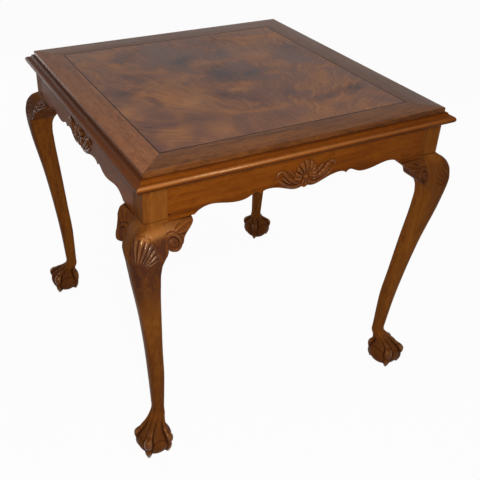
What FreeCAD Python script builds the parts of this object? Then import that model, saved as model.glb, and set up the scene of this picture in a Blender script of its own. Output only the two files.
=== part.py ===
"""Square games table with a framed veneered top on four cabriole legs with ball-and-claw feet.

Millimetres. The origin is on the floor under the middle of the table, +Z is up and the front is -Y.
Every side is alike, so each piece is made once for the front or the front left corner and turned
about the middle of the table for the others.
"""
import FreeCAD, Part
import math
import os

from FreeCAD import Vector

# Overall sizes
TABLE_HEIGHT = 750.0
TOP_SIZE = 720.0

# Top: a core board tongued into four mitred border boards, veneered and strung on its upper face
TOP_THICKNESS = 22.0
VENEER_THICKNESS = 1.0
BORDER_WIDTH = 59.0
STRINGING_WIDTH = 3.0
STRINGING_DEPTH = 3.0
TONGUE_LENGTH = 8.0
TONGUE_THICKNESS = 6.0

# Edge moulding: a square fillet, a hollow and a round bead, rebated to take the border
FILLET_DROP = 11.0
FILLET_PROJECTION = 6.0
FILLET_HEIGHT = 3.0
BEAD_RADIUS = 7.5
BEAD_CENTRE_PROJECTION = 12.5
HOLLOW_SAG = 1.2
MOULDING_BELOW_TOP = 11.0

# Frame: square leg posts joined by apron rails
FRAME_PROUD = 1.0
POST_SIZE = 50.0
RAIL_THICKNESS = 22.0
RAIL_HEIGHT = 81.0
TENON_END_GAP = 3.0
TENON_THICKNESS = 12.0
TENON_SHOULDER = 12.0
MORTISE_END_CLEARANCE = 1.0

# Scalloped lower edge of a rail: smooth runs that meet in cusps, from the bracket to the middle.
# Each point is its share of the half span between brackets and its rise above the rail's ends.
SCALLOP_RUNS = [
    [(0.973, 0.5), (0.926, 9.7), (0.837, 14.7), (0.743, 11.0), (0.623, 5.5), (0.506, 10.0), (0.442, 16.6),
     (0.405, 10.5)],
    [(0.405, 10.5), (0.375, 15.5), (0.319, 17.0), (0.202, 10.0), (0.086, 1.0), (0.027, 3.7)],
    [(0.027, 3.7), (0.012, 0.9), (0.0, 0.0)],
]

# Shell carving on the middle of each rail
SHELL_HALF_WIDTH = 29.0
SHELL_TOP_RISE = 67.0
SHELL_SHOULDER_RISE = 44.0
SHELL_FAN_RISE = 18.0
SHELL_WING_HALF_WIDTH = 86.0
SHELL_WING_RISE = 40.0
SHELL_WING_HEIGHT = 13.0
SHELL_RELIEF = 9.0
SHELL_WING_RELIEF = 6.0

# Knee bracket, measured inwards from the post and down from the rail
BRACKET_REACH = 50.0
BRACKET_DROP = 51.0
BRACKET_TIP_DROP = 6.0
BRACKET_TIP_ROUND = 2.0
BRACKET_WAIST_REACH = 20.0
BRACKET_WAIST_DROP = 29.0
BRACKET_WAIST_SAG = 2.5
BRACKET_FOOT_REACH = 0.0
BRACKET_FOOT_SAG = 5.0
BRACKET_LEG_DROP = 45.0
BRACKET_HEEL_SAG = 1.5
BRACKET_FLARE = 8.0

# Cabriole leg: the knee by its drop below the rail and how far its edge and its flanks stand out
# from the post, the step from the post's inner faces to the knee's, then the calf
KNEE_PROFILE = [
    (0.0, 0.0, 0.0),
    (5.0, 14.0, 6.0),
    (14.0, 23.5, 15.5),
    (30.0, 32.0, 24.5),
    (BRACKET_LEG_DROP, 36.0, 30.0),
]
KNEE_INSET = 12.0
KNEE_CORNER_RADIUS = 22.0
CALF_TOP_DROP = 86.0
CALF_TOP_WIDTH = 62.0
CALF_TOP_OFFSET = 4.0
CALF_DIAGONAL_RADIUS = 30.0
CALF_SIDE_RADIUS = 16.0
ANKLE_HEIGHT = 110.0
ANKLE_WIDTH = 32.4
ANKLE_INSET = 35.0
ANKLE_DIAGONAL_RADIUS = 14.0
ANKLE_SIDE_RADIUS = 11.3
CURVE_POWER = 1.5
TAPER_POWER = 1.6
CURVE_STATIONS = 8
SHARP_CORNER_RADIUS = 1.5

# Ball-and-claw foot
BALL_RADIUS = 35.0
BALL_FLAT = 2.0
FOOT_INSET = 16.0
CLAW_STANDOUT = 4.0
CLAW_RADIUS = 7.5
KNUCKLE_RADIUS = 9.0
TALON_TIP_RADIUS = 5.0
CLAW_HEIGHTS = {"wrist": 66.0, "knuckle": 44.0, "talon": 17.0}
CLAW_REACHES = {"wrist": 24.0, "tip": 32.0}

# Corner blocks inside the frame, screwed to both rails
BLOCK_LEG = 90.0
BLOCK_HEIGHT = 40.0
BLOCK_BELOW_RAIL_TOP = 21.0
BLOCK_SCREW_OFFSET = 31.0
BLOCK_SCREW_SEAT = 18.0
BLOCK_SCREW_BITE = 14.0
BLOCK_SCREW_RADIUS = 2.2
BLOCK_SCREW_HEAD_RADIUS = 4.5
SCREW_HEAD_HEIGHT = 3.0
COUNTERBORE_CLEARANCE = 0.7

# Turn-buttons that hold the top down: a stepped block turning on a screw, its tongue in the rail groove
BUTTON_SPACING = 300.0
BUTTON_WIDTH = 28.0
BUTTON_TAIL = 18.0
BUTTON_PIVOT_GAP = 22.0
BUTTON_GAP = 1.0
GROOVE_DEPTH = 9.0
GROOVE_HEIGHT = 8.0
GROOVE_BELOW_RAIL_TOP = 5.0
GROOVE_END_GAP = 2.0
TONGUE_CLEARANCE = 0.4
SEAT_CLEARANCE = 0.3
BUTTON_SCREW_RADIUS = 2.5
BUTTON_SCREW_HEAD_RADIUS = 5.5
BUTTON_SCREW_BITE = 14.0
SCREW_FIT = 0.05

# Sizes worked out from the driving ones
TOP_HALF = TOP_SIZE / 2
FIELD_HALF = TOP_HALF - BORDER_WIDTH
TOP_UNDERSIDE = TABLE_HEIGHT - TOP_THICKNESS
RAIL_TOP = TOP_UNDERSIDE - MOULDING_BELOW_TOP
RAIL_BOTTOM = RAIL_TOP - RAIL_HEIGHT
FRAME_HALF = TOP_HALF + FRAME_PROUD
POST_INNER = FRAME_HALF - POST_SIZE
RAIL_INNER = FRAME_HALF - RAIL_THICKNESS
TENON_LENGTH = POST_SIZE - RAIL_THICKNESS / 2 - TENON_THICKNESS / 2 - TENON_END_GAP
KNEE_PROUD = max(edge for drop, edge, flank in KNEE_PROFILE)
KNEE_INNER = POST_INNER + KNEE_INSET
ANKLE_CENTRE = FRAME_HALF - ANKLE_INSET
FOOT_CENTRE = FRAME_HALF - FOOT_INSET
BALL_HEIGHT = BALL_RADIUS - BALL_FLAT
CLAW_REACH = BALL_RADIUS + CLAW_STANDOUT
FAR = 4 * TOP_SIZE

SIDES = ["front", "right", "back", "left"]
CORNERS = ["front_left", "front_right", "back_right", "back_left"]
UP = Vector(0, 0, 1)


def between(low, high, share):
    """Return the value that lies a share of the way from low to high."""
    return low + (high - low) * share


def box(x0, x1, y0, y1, z0, z1):
    """Return a block between two opposite corners."""
    return Part.makeBox(x1 - x0, y1 - y0, z1 - z0, Vector(x0, y0, z0))


def cylinder(radius, start, direction, length):
    """Return a round bar from a point along a direction."""
    return Part.makeCylinder(radius, length, start, direction)


def fuse_all(shapes):
    """Return the union of some solids without seams left between flat faces."""
    return shapes[0].multiFuse(shapes[1:]).removeSplitter()


def turned(shape, quarter_turns):
    """Return a copy turned about the middle of the table."""
    copy = shape.copy()
    copy.rotate(Vector(0, 0, 0), UP, 90 * quarter_turns)
    return copy


def mirrored(shape):
    """Return a copy mirrored left to right."""
    return shape.mirror(Vector(0, 0, 0), Vector(1, 0, 0))


def polygon_face(points):
    """Return the flat face inside a closed run of straight lines."""
    return Part.Face(Part.makePolygon(points + points[:1]))


def bowed(start, end, sag, normal):
    """Return an arc between two points that bows sideways by a sag, in the plane with that normal."""
    middle = (start + end) * 0.5 + normal.cross(end - start).normalize() * sag
    return Part.Arc(start, middle, end).toShape()


def wedge():
    """Return the quarter of the plan that belongs to the front, bounded by the two mitre planes."""
    corners = [Vector(0, 0, 0), Vector(-FAR, -FAR, 0), Vector(FAR, -FAR, 0)]
    return polygon_face(corners).extrude(Vector(0, 0, FAR))


def mitred(shape):
    """Return the part of a front bar that lies between the mitres."""
    return shape.common(wedge())


def front_bar(inner, outer, z0, z1):
    """Return a mitred front bar between two distances from the middle of the table."""
    return mitred(box(-outer, outer, -outer, -inner, z0, z1))


def make_core():
    """Return the core board, with its tongue and the rebate that the stringing lies in."""
    veneer_bed = TABLE_HEIGHT - VENEER_THICKNESS
    board = box(-FIELD_HALF, FIELD_HALF, -FIELD_HALF, FIELD_HALF, TOP_UNDERSIDE, veneer_bed)
    reach = FIELD_HALF + TONGUE_LENGTH
    z0, z1 = tongue_span()
    tongue = box(-reach, reach, -reach, reach, z0, z1)
    inner = FIELD_HALF - STRINGING_WIDTH
    rebate_floor = TABLE_HEIGHT - STRINGING_DEPTH
    rebate = box(-FIELD_HALF, FIELD_HALF, -FIELD_HALF, FIELD_HALF, rebate_floor, veneer_bed)
    rebate = rebate.cut(box(-inner, inner, -inner, inner, rebate_floor, veneer_bed))
    core = board.fuse(tongue).cut(rebate).removeSplitter()
    for k in range(len(SIDES)):
        core = core.cut(turned(button_pilot_holes(), k))
    return core


def tongue_span():
    """Return the lower and upper height of the tongue in the middle of the top's thickness."""
    middle = TOP_UNDERSIDE + TOP_THICKNESS / 2
    return middle - TONGUE_THICKNESS / 2, middle + TONGUE_THICKNESS / 2


def make_field_leaf():
    """Return the front left leaf of the quarter-matched field veneer."""
    reach = FIELD_HALF - STRINGING_WIDTH
    return box(-reach, 0, -reach, 0, TABLE_HEIGHT - VENEER_THICKNESS, TABLE_HEIGHT)


def make_stringing():
    """Return the front length of stringing."""
    floor = TABLE_HEIGHT - STRINGING_DEPTH
    return front_bar(FIELD_HALF - STRINGING_WIDTH, FIELD_HALF, floor, TABLE_HEIGHT)


def make_border():
    """Return the front border board, grooved for the tongue and drilled for the button screws."""
    board = front_bar(FIELD_HALF, TOP_HALF, TOP_UNDERSIDE, TABLE_HEIGHT)
    z0, z1 = tongue_span()
    reach = FIELD_HALF + TONGUE_LENGTH
    board = board.cut(box(-reach, reach, -reach, -FIELD_HALF, z0, z1))
    return board.cut(button_pilot_holes())


def make_moulding():
    """Return the front length of edge moulding, with the rebate that the border sits in."""
    def point(projection, drop):
        return Vector(0, -(TOP_HALF + projection), TABLE_HEIGHT - drop)

    back = RAIL_INNER - TOP_HALF
    base = TOP_THICKNESS + MOULDING_BELOW_TOP
    hollow_start = FILLET_DROP + FILLET_HEIGHT
    bead_top = base - 2 * BEAD_RADIUS
    diagonal = BEAD_RADIUS * math.sqrt(0.5)
    bead_start = point(BEAD_CENTRE_PROJECTION, bead_top)
    bead_upper = point(BEAD_CENTRE_PROJECTION + diagonal, base - BEAD_RADIUS - diagonal)
    bead_nose = point(BEAD_CENTRE_PROJECTION + BEAD_RADIUS, base - BEAD_RADIUS)
    bead_lower = point(BEAD_CENTRE_PROJECTION + diagonal, base - BEAD_RADIUS + diagonal)
    bead_end = point(BEAD_CENTRE_PROJECTION, base)
    straight = [
        bead_end,
        point(back, base),
        point(back, TOP_THICKNESS),
        point(0, TOP_THICKNESS),
        point(0, FILLET_DROP),
        point(FILLET_PROJECTION, FILLET_DROP),
        point(FILLET_PROJECTION, hollow_start),
    ]
    edges = [Part.makeLine(a, b) for a, b in zip(straight, straight[1:])]
    edges.append(bowed(straight[-1], bead_start, HOLLOW_SAG, Vector(1, 0, 0)))
    edges.append(Part.Arc(bead_start, bead_upper, bead_nose).toShape())
    edges.append(Part.Arc(bead_nose, bead_lower, bead_end).toShape())
    half = TOP_HALF + BEAD_CENTRE_PROJECTION + BEAD_RADIUS
    bar = Part.Face(Part.Wire(edges)).extrude(Vector(2 * half, 0, 0))
    bar.translate(Vector(-half, 0, 0))
    return mitred(bar)


def button_places():
    """Return the two places along a side where turn-buttons sit."""
    return [-BUTTON_SPACING / 2, BUTTON_SPACING / 2]


def button_pivot_y():
    """Return the place of the front buttons' screws, in from the rail."""
    return -(RAIL_INNER - BUTTON_PIVOT_GAP)


def button_pilot_holes():
    """Return the holes that the front button screws bite into, up into the top."""
    radius = BUTTON_SCREW_RADIUS + SCREW_FIT
    starts = [Vector(x, button_pivot_y(), TOP_UNDERSIDE) for x in button_places()]
    return Part.makeCompound([cylinder(radius, start, UP, BUTTON_SCREW_BITE) for start in starts])


def scallop_edges(side):
    """Return the lower edge of one half of the front rail as curves, from the bracket to the middle."""
    half_span = POST_INNER - BRACKET_REACH
    edges = []
    for run in SCALLOP_RUNS:
        points = [Vector(side * share * half_span, -FRAME_HALF, RAIL_BOTTOM + rise) for share, rise in run]
        curve = Part.BSplineCurve()
        curve.interpolate(points)
        edges.append(curve.toShape())
    return edges


def make_rail():
    """Return the front rail: a board with a scalloped lower edge, two tenons and a button groove."""
    edges = []
    for side in (-1, 1):
        scallop = scallop_edges(side)
        low = Vector(side * POST_INNER, -FRAME_HALF, RAIL_BOTTOM)
        high = Vector(side * POST_INNER, -FRAME_HALF, RAIL_TOP)
        edges += scallop
        edges.append(Part.makeLine(low, scallop[0].Vertexes[0].Point))
        edges.append(Part.makeLine(low, high))
    ends = [Vector(side * POST_INNER, -FRAME_HALF, RAIL_TOP) for side in (-1, 1)]
    edges.append(Part.makeLine(ends[0], ends[1]))
    board = Part.Face(Part.Wire(Part.__sortEdges__(edges))).extrude(Vector(0, RAIL_THICKNESS, 0))
    tenon_reach = POST_INNER + TENON_LENGTH
    tenon_y = -FRAME_HALF + RAIL_THICKNESS / 2
    tenon = box(
        -tenon_reach,
        tenon_reach,
        tenon_y - TENON_THICKNESS / 2,
        tenon_y + TENON_THICKNESS / 2,
        RAIL_BOTTOM + TENON_SHOULDER,
        RAIL_TOP - TENON_SHOULDER,
    )
    middle = box(-POST_INNER, POST_INNER, -FRAME_HALF, -RAIL_INNER, RAIL_BOTTOM, RAIL_TOP)
    board = board.fuse(tenon.cut(middle)).removeSplitter()
    groove_top = RAIL_TOP - GROOVE_BELOW_RAIL_TOP
    groove_half = POST_INNER - GROOVE_END_GAP
    board = board.cut(
        box(
            -groove_half,
            groove_half,
            -RAIL_INNER - GROOVE_DEPTH,
            -RAIL_INNER,
            groove_top - GROOVE_HEIGHT,
            groove_top,
        )
    )
    for start in block_screw_starts():
        hole = cylinder(BLOCK_SCREW_RADIUS + SCREW_FIT, start, Vector(0, -1, 0), BLOCK_SCREW_BITE)
        board = board.cut(hole)
    return board


def block_screw_starts():
    """Return where the corner block screws enter the front rail's inner face."""
    z = block_z()[0] + BLOCK_HEIGHT / 2
    x = POST_INNER - BLOCK_SCREW_OFFSET
    return [Vector(-x, -RAIL_INNER, z), Vector(x, -RAIL_INNER, z)]


def block_z():
    """Return the lower and upper height of the corner blocks."""
    top = RAIL_TOP - BLOCK_BELOW_RAIL_TOP
    return top - BLOCK_HEIGHT, top


def make_shell():
    """Return the front rail's carved shell: a fan between two leaf wings, against the rail's face."""
    def point(x, rise):
        return Vector(x, -FRAME_HALF, RAIL_BOTTOM + rise)

    fan_low = point(0, SHELL_FAN_RISE)
    fan = Part.Wire(
        [
            Part.Arc(
                point(-SHELL_HALF_WIDTH, SHELL_SHOULDER_RISE),
                point(0, SHELL_TOP_RISE),
                point(SHELL_HALF_WIDTH, SHELL_SHOULDER_RISE),
            ).toShape(),
            Part.makeLine(point(SHELL_HALF_WIDTH, SHELL_SHOULDER_RISE), fan_low),
            Part.makeLine(fan_low, point(-SHELL_HALF_WIDTH, SHELL_SHOULDER_RISE)),
        ]
    )
    fan = Part.Face(fan).extrude(Vector(0, -SHELL_RELIEF, 0))
    wings = []
    for side in (-1, 1):
        tip = point(side * SHELL_WING_HALF_WIDTH, SHELL_WING_RISE)
        root_high = point(0, SHELL_WING_RISE + SHELL_WING_HEIGHT / 2)
        root_low = point(0, SHELL_WING_RISE - SHELL_WING_HEIGHT)
        over = point(side * SHELL_WING_HALF_WIDTH / 2, SHELL_WING_RISE + SHELL_WING_HEIGHT * 0.55)
        under = point(side * SHELL_WING_HALF_WIDTH / 2, SHELL_WING_RISE - SHELL_WING_HEIGHT)
        edge = Part.Wire(
            [
                Part.Arc(root_high, over, tip).toShape(),
                Part.Arc(tip, under, root_low).toShape(),
                Part.makeLine(root_low, root_high),
            ]
        )
        wings.append(Part.Face(edge).extrude(Vector(0, -SHELL_WING_RELIEF, 0)))
    return fuse_all([fan] + wings)


def bracket_profile(x, flare):
    """Return the bracket's outline from the side, along the knee's flank and standing out further by a flare."""
    points = [Vector(x, -RAIL_INNER, RAIL_BOTTOM)]
    for drop, edge, flank in KNEE_PROFILE:
        out = flank + (flare if drop > 0 else 0)
        points.append(Vector(x, -FRAME_HALF - out, RAIL_BOTTOM - drop))
    below = RAIL_BOTTOM - 2 * BRACKET_DROP
    points.append(Vector(x, points[-1].y, below))
    points.append(Vector(x, -RAIL_INNER, below))
    return Part.makePolygon(points + points[:1])


def make_bracket():
    """Return the front rail's left knee bracket, glued to the knee and under the post and the rail."""
    def point(reach, drop):
        return Vector(-(POST_INNER - reach), -RAIL_INNER, RAIL_BOTTOM - drop)

    tip = point(BRACKET_REACH, BRACKET_TIP_DROP)
    waist = point(BRACKET_WAIST_REACH, BRACKET_WAIST_DROP)
    foot = point(BRACKET_FOOT_REACH, BRACKET_DROP)
    heel = point(-KNEE_INSET, BRACKET_LEG_DROP)
    root = point(-KNEE_INSET, 0)
    top_inner = point(BRACKET_REACH - BRACKET_TIP_ROUND, 0)
    side = Vector(0, 1, 0)
    edges = [
        Part.makeLine(root, top_inner),
        bowed(top_inner, tip, -BRACKET_TIP_ROUND / 2, side),
        bowed(tip, waist, BRACKET_WAIST_SAG, side),
        bowed(waist, foot, -BRACKET_FOOT_SAG, side),
        bowed(foot, heel, -BRACKET_HEEL_SAG, side),
        Part.makeLine(heel, root),
    ]
    depth = RAIL_THICKNESS + KNEE_PROUD
    block = Part.Face(Part.Wire(edges)).extrude(Vector(0, -depth, 0))
    profiles = [bracket_profile(-KNEE_INNER, 0), bracket_profile(-POST_INNER + BRACKET_REACH, BRACKET_FLARE)]
    return block.common(Part.makeLoft(profiles, True, True))


def leg_section(z, inner, flank, outer, outer_radius, side_radius, inner_radius):
    """Return a level rounded kite on the front left corner, from distances along both axes.

    The corner that points out of the table, the two side corners and the inner one have their own radii.
    """
    corners = [
        (-outer, -outer, outer_radius),
        (-inner, -flank, side_radius),
        (-inner, -inner, inner_radius),
        (-flank, -inner, side_radius),
    ]
    points = [Vector(x, y, z) for x, y, radius in corners]
    arcs = []
    for k, (x, y, radius) in enumerate(corners):
        back = (points[k - 1] - points[k]).normalize() * radius
        ahead = (points[(k + 1) % 4] - points[k]).normalize() * radius
        middle = points[k] + (back + ahead) * (1 - math.sqrt(0.5))
        arcs.append(Part.Arc(points[k] + back, middle, points[k] + ahead).toShape())
    edges = []
    for k, arc in enumerate(arcs):
        edges.append(arc)
        edges.append(Part.makeLine(arc.Vertexes[-1].Point, arcs[(k + 1) % 4].Vertexes[0].Point))
    return Part.Wire(edges)


def knee_sections():
    """Return the sections of the knee, whose inner faces stay flat where the brackets are glued."""
    sharp = SHARP_CORNER_RADIUS
    sections = []
    for drop, edge, flank in KNEE_PROFILE:
        radius = between(sharp, KNEE_CORNER_RADIUS, edge / KNEE_PROUD)
        z = RAIL_BOTTOM - drop
        sections.append(leg_section(z, KNEE_INNER, FRAME_HALF + flank, FRAME_HALF + edge, radius, sharp, sharp))
    return sections


def calf_sections():
    """Return the sections from under the knee to the ankle, along the S of the cabriole."""
    sections = []
    for k in range(CURVE_STATIONS + 1):
        share = 1 - k / CURVE_STATIONS
        taper = share ** TAPER_POWER
        z = between(ANKLE_HEIGHT, RAIL_BOTTOM - CALF_TOP_DROP, share)
        centre = between(ANKLE_CENTRE, FRAME_HALF + CALF_TOP_OFFSET, share ** CURVE_POWER)
        half = between(ANKLE_WIDTH, CALF_TOP_WIDTH, taper) / 2
        diagonal = between(ANKLE_DIAGONAL_RADIUS, CALF_DIAGONAL_RADIUS, taper)
        side = between(ANKLE_SIDE_RADIUS, CALF_SIDE_RADIUS, taper)
        outer = centre + half
        sections.append(leg_section(z, centre - half, outer, outer, diagonal, side, diagonal))
    return sections


def tapered_bone(start, end, start_radius, end_radius):
    """Return a tapered round bar between two points."""
    run = end - start
    return Part.makeCone(start_radius, end_radius, run.Length, start, run)


def make_claw(turn):
    """Return the bones, knuckles and talon of a claw, turned in degrees from the outward corner."""
    angle = math.radians(225 + turn)
    direction = Vector(math.cos(angle), math.sin(angle), 0)
    ball = Vector(-FOOT_CENTRE, -FOOT_CENTRE, 0)
    ankle = Vector(-ANKLE_CENTRE, -ANKLE_CENTRE, ANKLE_HEIGHT)
    wrist = ball + direction * CLAW_REACHES["wrist"] + UP * CLAW_HEIGHTS["wrist"]
    knuckle = ball + direction * CLAW_REACH + UP * CLAW_HEIGHTS["knuckle"]
    talon = ball + direction * CLAW_REACH + UP * CLAW_HEIGHTS["talon"]
    tip = ball + direction * CLAW_REACHES["tip"] - UP * TALON_TIP_RADIUS
    bones = [(ankle, wrist), (wrist, knuckle), (knuckle, talon)]
    pieces = [tapered_bone(start, end, CLAW_RADIUS * 1.2, CLAW_RADIUS) for start, end in bones]
    pieces += [Part.makeSphere(KNUCKLE_RADIUS, joint) for joint in (wrist, knuckle, talon)]
    pieces.append(tapered_bone(talon, tip, CLAW_RADIUS, TALON_TIP_RADIUS))
    return pieces


def make_foot():
    """Return the ball gripped by four claws, flat where it stands."""
    centre = Vector(-FOOT_CENTRE, -FOOT_CENTRE, BALL_HEIGHT)
    pieces = [Part.makeSphere(BALL_RADIUS, centre)]
    for turn in (0, 90, 180, 270):
        pieces += make_claw(turn)
    foot = fuse_all(pieces)
    under = box(-FAR, FAR, -FAR, FAR, -FAR, 0)
    return foot.cut(under)


def make_leg():
    """Return the front left leg with its post, mortises, knee, calf and foot."""
    post = box(-FRAME_HALF, -POST_INNER, -FRAME_HALF, -POST_INNER, RAIL_BOTTOM, RAIL_TOP)
    knee = Part.makeLoft(knee_sections(), True, False)
    neck = Part.makeLoft([knee_sections()[-1], calf_sections()[0]], True, True)
    calf = Part.makeLoft(calf_sections(), True, False)
    on_ball = leg_section(
        BALL_HEIGHT + BALL_RADIUS / 2,
        FOOT_CENTRE - ANKLE_WIDTH / 2,
        FOOT_CENTRE + ANKLE_WIDTH / 2,
        FOOT_CENTRE + ANKLE_WIDTH / 2,
        ANKLE_DIAGONAL_RADIUS,
        ANKLE_SIDE_RADIUS,
        ANKLE_DIAGONAL_RADIUS,
    )
    shank = Part.makeLoft([calf_sections()[-1], on_ball], True, True)
    leg = fuse_all([post, knee, neck, calf, shank, make_foot()])
    length = TENON_LENGTH + MORTISE_END_CLEARANCE
    inset = RAIL_THICKNESS / 2
    for along_x in (True, False):
        reach = (-POST_INNER - length, -POST_INNER)
        across = (-FRAME_HALF + inset - TENON_THICKNESS / 2, -FRAME_HALF + inset + TENON_THICKNESS / 2)
        x, y = (reach, across) if along_x else (across, reach)
        mortise = box(x[0], x[1], y[0], y[1], RAIL_BOTTOM + TENON_SHOULDER, RAIL_TOP - TENON_SHOULDER)
        leg = leg.cut(mortise)
    return leg


def make_corner_block():
    """Return the front left corner block, notched round the post and bored for its screws."""
    z0, z1 = block_z()
    block = polygon_face(
        [
            Vector(-RAIL_INNER, -RAIL_INNER, z0),
            Vector(-RAIL_INNER + BLOCK_LEG, -RAIL_INNER, z0),
            Vector(-RAIL_INNER, -RAIL_INNER + BLOCK_LEG, z0),
        ]
    ).extrude(Vector(0, 0, z1 - z0))
    notch = box(-FRAME_HALF, -POST_INNER, -FRAME_HALF, -POST_INNER, z0, z1)
    block = block.cut(notch)
    for bore in block_screw_bores():
        block = block.cut(bore)
    return block


def block_screws():
    """Return the two screws of the front left corner block, driven into its two rails."""
    screws = []
    for start, into in block_screw_axes():
        seat = start - into * BLOCK_SCREW_SEAT
        shank = cylinder(BLOCK_SCREW_RADIUS, seat, into, BLOCK_SCREW_SEAT + BLOCK_SCREW_BITE)
        head = cylinder(BLOCK_SCREW_HEAD_RADIUS, seat - into * SCREW_HEAD_HEIGHT, into, SCREW_HEAD_HEIGHT)
        screws.append(fuse_all([shank, head]))
    return screws


def block_screw_axes():
    """Return the entry point and direction of the front left block's screws."""
    front = block_screw_starts()[0]
    return [
        (front, Vector(0, -1, 0)),
        (Vector(front.y, front.x, front.z), Vector(-1, 0, 0)),
    ]


def block_screw_bores():
    """Return the clearance holes and counterbores of the front left block."""
    bores = []
    for start, into in block_screw_axes():
        seat = start - into * BLOCK_SCREW_SEAT
        bores.append(cylinder(BLOCK_SCREW_RADIUS + SCREW_FIT, start, into * -1, BLOCK_SCREW_SEAT))
        bores.append(
            cylinder(BLOCK_SCREW_HEAD_RADIUS + COUNTERBORE_CLEARANCE, seat, into * -1, BLOCK_LEG)
        )
    return bores


def button_levels():
    """Return the heights of a button's underside, tongue top and upper face."""
    groove_top = RAIL_TOP - GROOVE_BELOW_RAIL_TOP
    underside = groove_top - GROOVE_HEIGHT + TONGUE_CLEARANCE
    return underside, groove_top - SEAT_CLEARANCE, TOP_UNDERSIDE - SEAT_CLEARANCE


def rounded_bar(pivot, tail, radius, z0, z1):
    """Return a bar with a square tail and a front end that is round about the pivot."""
    half = BUTTON_WIDTH / 2
    bar = box(pivot.x - half, pivot.x + half, pivot.y - radius, pivot.y + tail, z0, z1)
    return bar.common(
        cylinder(radius, Vector(pivot.x, pivot.y, z0), UP, z1 - z0).fuse(
            box(pivot.x - half, pivot.x + half, pivot.y, pivot.y + tail, z0, z1)
        )
    )


def make_button(x):
    """Return a turn-button on the front rail, with its tongue in the groove."""
    underside, tongue_top, upper = button_levels()
    pivot = Vector(x, button_pivot_y(), 0)
    body = rounded_bar(pivot, BUTTON_TAIL, BUTTON_PIVOT_GAP - BUTTON_GAP, underside, upper)
    reach = BUTTON_PIVOT_GAP + GROOVE_DEPTH - 2 * BUTTON_GAP
    tongue = rounded_bar(pivot, BUTTON_TAIL, reach, underside, tongue_top)
    button = fuse_all([body, tongue])
    start = Vector(pivot.x, pivot.y, underside)
    return button.cut(cylinder(BUTTON_SCREW_RADIUS + SCREW_FIT, start, UP, upper - underside))


def make_button_screw(x):
    """Return the screw that a front turn-button turns on."""
    underside = button_levels()[0]
    head_top = underside - SEAT_CLEARANCE
    pivot = Vector(x, button_pivot_y(), head_top)
    shank_length = TOP_UNDERSIDE + BUTTON_SCREW_BITE - SCREW_FIT - head_top
    head = cylinder(BUTTON_SCREW_HEAD_RADIUS, pivot - UP * SCREW_HEAD_HEIGHT, UP, SCREW_HEAD_HEIGHT)
    return fuse_all([head, cylinder(BUTTON_SCREW_RADIUS, pivot, UP, shank_length)])


def build():
    """Return every node's shape by name."""
    nodes = {"top_core": make_core()}
    field_leaf = make_field_leaf()
    leg = make_leg()
    block = make_corner_block()
    block_screw_pair = block_screws()
    all_block_screws = []
    for k, corner in enumerate(CORNERS):
        nodes["field_veneer_" + corner] = turned(field_leaf, k)
        nodes["leg_" + corner] = turned(leg, k)
        nodes["corner_block_" + corner] = turned(block, k)
        all_block_screws += [turned(screw, k) for screw in block_screw_pair]
    nodes["corner_block_screws"] = Part.makeCompound(all_block_screws)
    front = {
        "stringing": make_stringing(),
        "top_border": make_border(),
        "edge_moulding": make_moulding(),
        "apron_rail": make_rail(),
        "shell_carving": make_shell(),
    }
    bracket = make_bracket()
    other_bracket = mirrored(bracket)
    button_screws = []
    for k, side in enumerate(SIDES):
        for name, shape in front.items():
            nodes[name + "_" + side] = turned(shape, k)
        nodes["knee_bracket_" + side + "_1"] = turned(bracket, k)
        nodes["knee_bracket_" + side + "_2"] = turned(other_bracket, k)
        for number, x in enumerate(button_places(), start=1):
            nodes["top_button_%s_%d" % (side, number)] = turned(make_button(x), k)
            button_screws.append(turned(make_button_screw(x), k))
    nodes["top_button_screws"] = Part.makeCompound(button_screws)
    return nodes


def main():
    """Write each node to its own file."""
    os.makedirs("parts", exist_ok=True)
    for name, shape in build().items():
        if not shape.isValid():
            print("not a valid solid:", name)
        print("%-28s %2d solid(s) %12.1f mm3" % (name, len(shape.Solids), shape.Volume))
        shape.exportStep("parts/" + name + ".step")


main()
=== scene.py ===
"""Looks of a square walnut games table with a framed veneered top and carved cabriole legs.

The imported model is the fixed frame, in metres. Shapes are worked out in millimetres with the front
at -Y, made once for the front or the front left corner, and turned about the middle for the others.
"""

import logging
import math
from dataclasses import dataclass
from enum import Enum
from functools import partial
from typing import Any, Callable, Sequence

import bpy
import numpy as np
from bpy.types import Material, Node, NodeSocket, NodeTree, Object
from mathutils import Matrix, Vector


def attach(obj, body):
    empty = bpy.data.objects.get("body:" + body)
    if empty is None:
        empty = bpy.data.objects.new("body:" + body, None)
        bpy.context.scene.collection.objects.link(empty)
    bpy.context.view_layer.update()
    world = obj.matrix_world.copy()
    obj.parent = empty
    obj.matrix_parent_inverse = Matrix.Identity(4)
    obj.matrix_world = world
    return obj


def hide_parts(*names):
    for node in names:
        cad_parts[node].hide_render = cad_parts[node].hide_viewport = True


MM = 0.001
BODY = "table"
SIDES = ("front", "right", "back", "left")
CORNERS = ("front_left", "front_right", "back_right", "back_left")
# How far the carving of the near corner is made glossier and given painted highlight and painted shade, from
# 0 to 1.
NEAR_WEAR_AND_PAINTED_LIGHT = 0.8
Array = np.ndarray
Place = tuple[float, float, float]
Stations = tuple[tuple[float, float], ...]
Marks = dict[str, Array]
Adder = Callable[..., NodeSocket]
log = logging.getLogger("games_table")
logging.basicConfig(level=logging.INFO, format="%(name)s: %(message)s")

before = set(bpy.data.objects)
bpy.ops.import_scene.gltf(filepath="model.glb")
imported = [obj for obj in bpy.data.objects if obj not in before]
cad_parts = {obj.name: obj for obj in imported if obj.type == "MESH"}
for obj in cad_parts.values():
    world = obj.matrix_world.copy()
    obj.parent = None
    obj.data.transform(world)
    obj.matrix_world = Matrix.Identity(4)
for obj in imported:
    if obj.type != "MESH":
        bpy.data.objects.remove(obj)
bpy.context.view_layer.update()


class Grain(Enum):
    """The axis that the fibres of a timber run along."""
    ALONG_X = 0
    ALONG_Y = 1
    ALONG_Z = 2


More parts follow.
